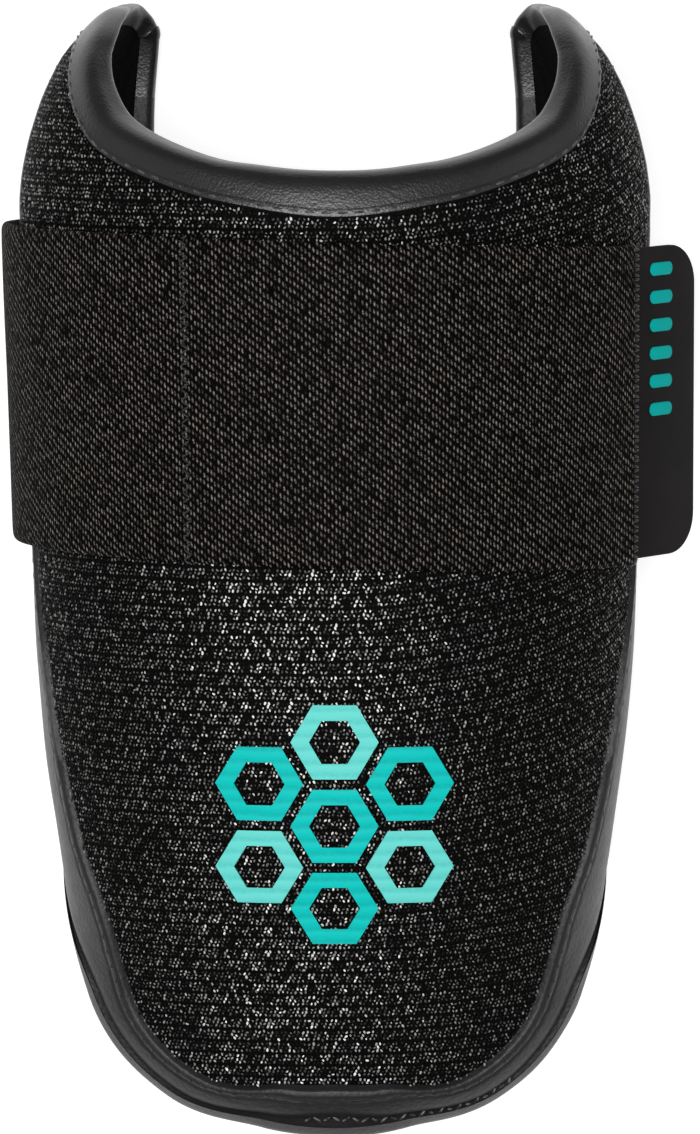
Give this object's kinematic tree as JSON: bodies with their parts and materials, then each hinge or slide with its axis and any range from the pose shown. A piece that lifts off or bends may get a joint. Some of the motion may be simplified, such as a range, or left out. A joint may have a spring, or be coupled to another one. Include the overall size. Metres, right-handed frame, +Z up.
{
  "type": "elbow guard",
  "caption": "Padded elbow guard with a rounded tongue, mesh front, rolled edges and a wide elastic strap that closes it round the arm.",
  "frame": {"origin": "on the floor under the middle of the guard, which lies on its back", "axes": "+Z up out of the front, +Y along the arm from the tongue's tip to the raised wings, +X to the strap's tab"},
  "size_m": [0.1392, 0.2268, 0.0879],
  "materials": {
    "air_mesh": "coarse black air mesh",
    "side_leather": "satin polyurethane leather",
    "lining": "dark brushed lining over foam",
    "binding_leather": "satin polyurethane leather",
    "rim_leather": "satin polyurethane leather",
    "elastic": "woven elastic",
    "hook_tape": "hook fastener tape",
    "tab_rubber": "matte moulded rubber",
    "teal_print": "raised teal print",
    "thread": "polyester sewing thread"
  },
  "bodies": {
    "root": {"mesh_cover": "air_mesh", "side_band": "side_leather", "padded_liner": "lining", "neck_binding": "binding_leather", "rear_rim": "rim_leather", "strap": "elastic", "hook_patch": "hook_tape", "pull_tab": "tab_rubber"}
  },
  "joints": []
}
